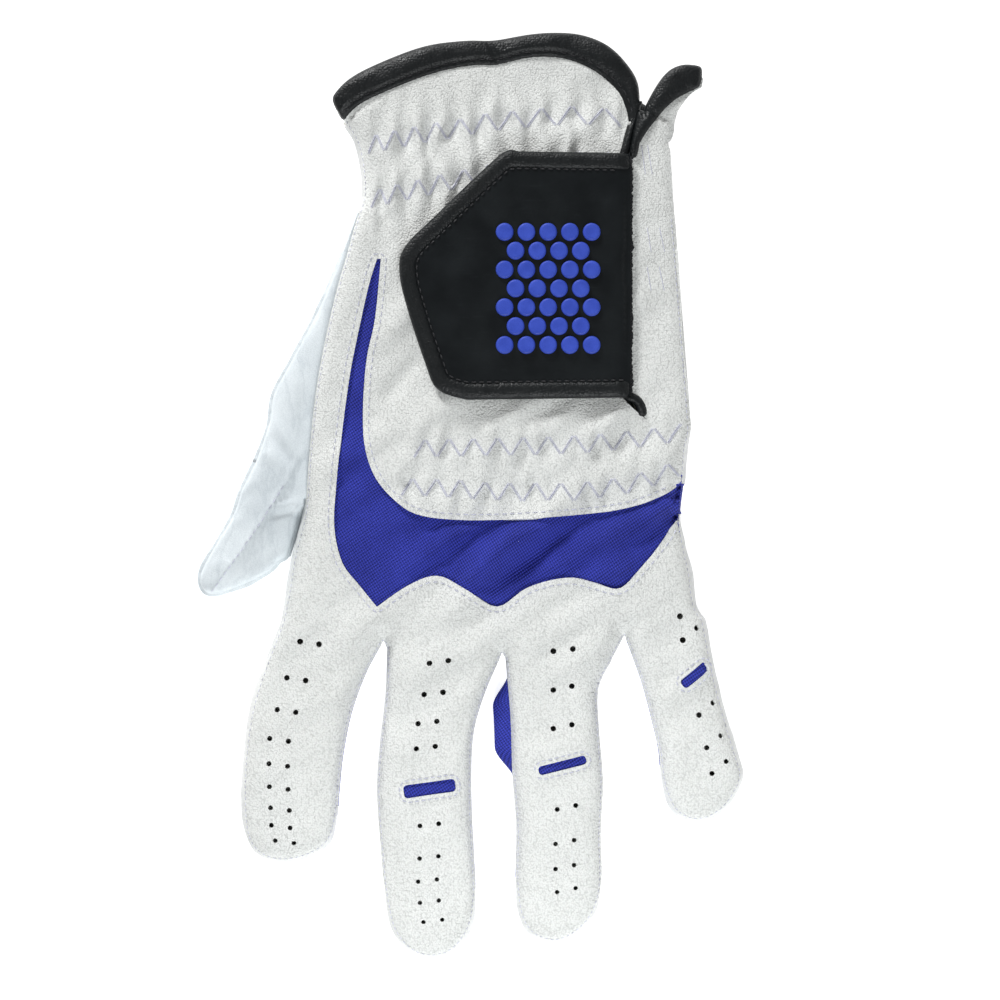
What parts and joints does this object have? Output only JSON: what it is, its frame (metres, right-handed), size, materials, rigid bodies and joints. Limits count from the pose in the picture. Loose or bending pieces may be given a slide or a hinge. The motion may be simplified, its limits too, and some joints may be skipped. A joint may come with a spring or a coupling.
{
  "type": "golf glove",
  "caption": "Left-hand leather golf glove lying palm down, with knit stretch inserts, a bound cuff and a hook-and-loop wrist tab; fingers, thumb, side wing and tab bend.",
  "frame": {"origin": "centre of the glove's footprint, on the surface that the palm lies on", "axes": "+Y from the fingers to the cuff, +Z out of the back of the hand, -X towards the thumb"},
  "size_m": [0.142, 0.24, 0.0163],
  "materials": {
    "back_leather": "warm white leather, fine pebble grain",
    "palm_leather": "smooth white cabretta leather",
    "thumb_leather": "smooth cool white cabretta leather",
    "blue_knit": "deep blue stretch knit with a fine diagonal rib",
    "elastic": "white woven elastic",
    "loop_pile": "black brushed loop pile",
    "hook_tape": "black hook tape",
    "black_binding": "black grained leather binding",
    "tab_panel": "smooth black coated leather",
    "tab_lining": "black woven lining",
    "grip_pads": "soft raised blue rubber",
    "black_thread": "black polyester thread",
    "pale_thread": "pale lavender white polyester thread"
  },
  "bodies": {
    "hand": {"back_leather": "back_leather", "palm_leather": "palm_leather", "knit_insert": "blue_knit", "cuff_elastic": "elastic", "knuckle_elastic": "elastic", "loop_patch": "loop_pile", "cuff_binding": "black_binding", "palm_cuff_binding": "black_binding", "slit_binding": "black_binding", "thumb_web": "thumb_leather", "cuff_zigzag_thread": "pale_thread", "knuckle_zigzag_thread": "pale_thread", "insert_thread": "pale_thread"},
    "side_wing": {"wing_leather": "back_leather", "wing_binding": "black_binding", "wing_zigzag_thread": "pale_thread"},
    "closure_tab": {"tab_panel": "tab_panel", "tab_backing": "tab_lining", "tab_binding": "black_binding", "tab_hook_patch": "hook_tape", "tab_grip_pads": "grip_pads", "tab_thread": "black_thread"},
    "index": {"index_back": "back_leather", "index_front": "palm_leather", "index_inner_knit": "blue_knit"},
    "middle": {"middle_back": "back_leather", "middle_front": "palm_leather", "middle_outer_knit": "blue_knit", "middle_inner_knit": "blue_knit", "middle_knuckle_insert": "blue_knit", "middle_knuckle_thread": "pale_thread"},
    "ring": {"ring_back": "back_leather", "ring_front": "palm_leather", "ring_outer_knit": "blue_knit", "ring_inner_knit": "blue_knit", "ring_knuckle_insert": "blue_knit", "ring_knuckle_thread": "pale_thread"},
    "little": {"little_back": "back_leather", "little_front": "palm_leather", "little_outer_knit": "blue_knit", "little_knuckle_insert": "blue_knit", "little_knuckle_thread": "pale_thread"},
    "thumb": {"thumb_back": "thumb_leather", "thumb_front": "thumb_leather", "thumb_seam_thread": "pale_thread"}
  },
  "joints": [
    {"name": "index_knuckle", "type": "hinge", "parent": "hand", "child": "index", "pos_m": [-0.03575, -0.0347, 0], "axis": [0.9799, -0.1997, 0], "range_deg": [0, 75]},
    {"name": "middle_knuckle", "type": "hinge", "parent": "hand", "child": "middle", "pos_m": [-0.0066, -0.04005, 0], "axis": [0.9993, -0.0369, 0], "range_deg": [0, 75]},
    {"name": "ring_knuckle", "type": "hinge", "parent": "hand", "child": "ring", "pos_m": [0.0231, -0.042, 0], "axis": [1, 0, 0], "range_deg": [0, 75]},
    {"name": "little_knuckle", "type": "hinge", "parent": "hand", "child": "little", "pos_m": [0.0506, -0.0339, 0], "axis": [0.9802, 0.1979, 0], "range_deg": [0, 75]},
    {"name": "thumb_crease", "type": "hinge", "parent": "hand", "child": "thumb", "pos_m": [-0.05005, 0.0046, 0], "axis": [0.8261, -0.5635, 0], "range_deg": [0, 40]},
    {"name": "wing_fold", "type": "hinge", "parent": "hand", "child": "side_wing", "pos_m": [0.0524, 0.057, 0.012], "axis": [-0.0499, 0.9988, 0], "range_deg": [0, 45]},
    {"name": "tab_fold", "type": "hinge", "parent": "side_wing", "child": "closure_tab", "pos_m": [0.0416, 0.057, 0.0154], "axis": [0, 1, 0], "range_deg": [0, 150]}
  ]
}
